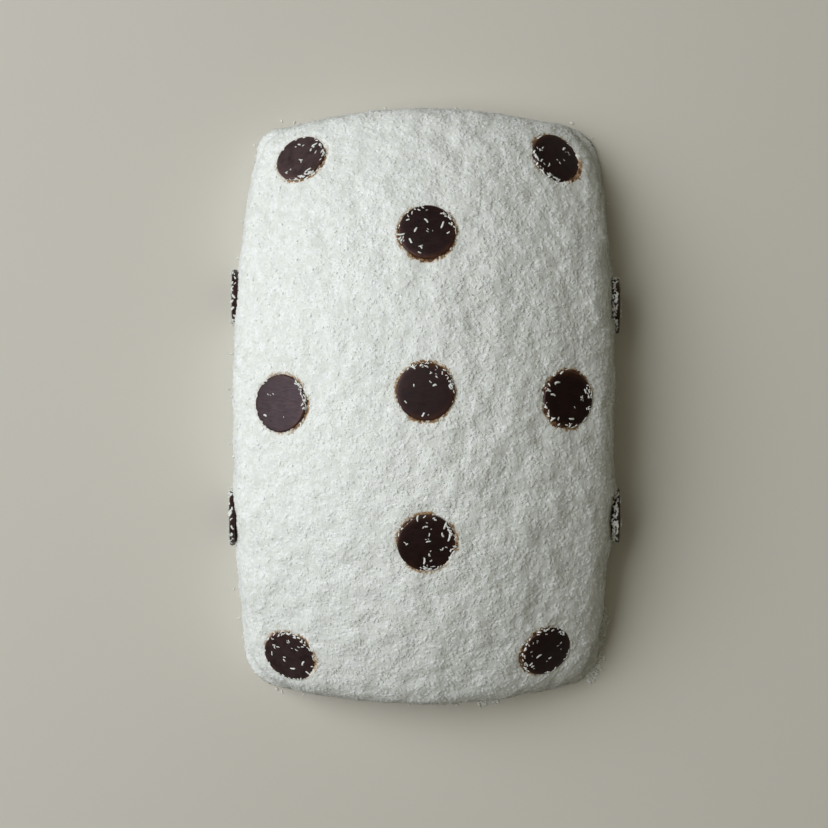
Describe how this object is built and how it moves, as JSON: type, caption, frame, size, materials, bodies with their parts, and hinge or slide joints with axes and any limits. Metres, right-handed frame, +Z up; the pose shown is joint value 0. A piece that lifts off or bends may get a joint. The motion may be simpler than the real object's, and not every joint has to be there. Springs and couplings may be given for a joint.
{
  "type": "birthday cake",
  "caption": "Rectangular domed cake coated in white cream and shredded coconut, with dark chocolate discs pressed into its top and long sides.",
  "frame": {"origin": "centre of the bounding box at the base the cake stands on", "axes": "+Z up, +Y along the long sides towards the end that is uppermost in the picture, +X across towards the right of the picture"},
  "size_m": [0.2032, 0.3092, 0.0788],
  "materials": {
    "coconut_cream": "matte white cream thickly covered in fine shredded coconut",
    "dark_chocolate": "satin dark chocolate"
  },
  "bodies": {
    "root": {"cake": "coconut_cream", "disc_top_left": "dark_chocolate", "disc_top_right": "dark_chocolate", "disc_upper_middle": "dark_chocolate", "disc_left": "dark_chocolate", "disc_centre": "dark_chocolate", "disc_right": "dark_chocolate", "disc_lower_middle": "dark_chocolate", "disc_bottom_left": "dark_chocolate", "disc_bottom_right": "dark_chocolate", "side_disc_upper_left": "dark_chocolate", "side_disc_lower_left": "dark_chocolate", "side_disc_upper_right": "dark_chocolate", "side_disc_lower_right": "dark_chocolate"}
  },
  "joints": []
}
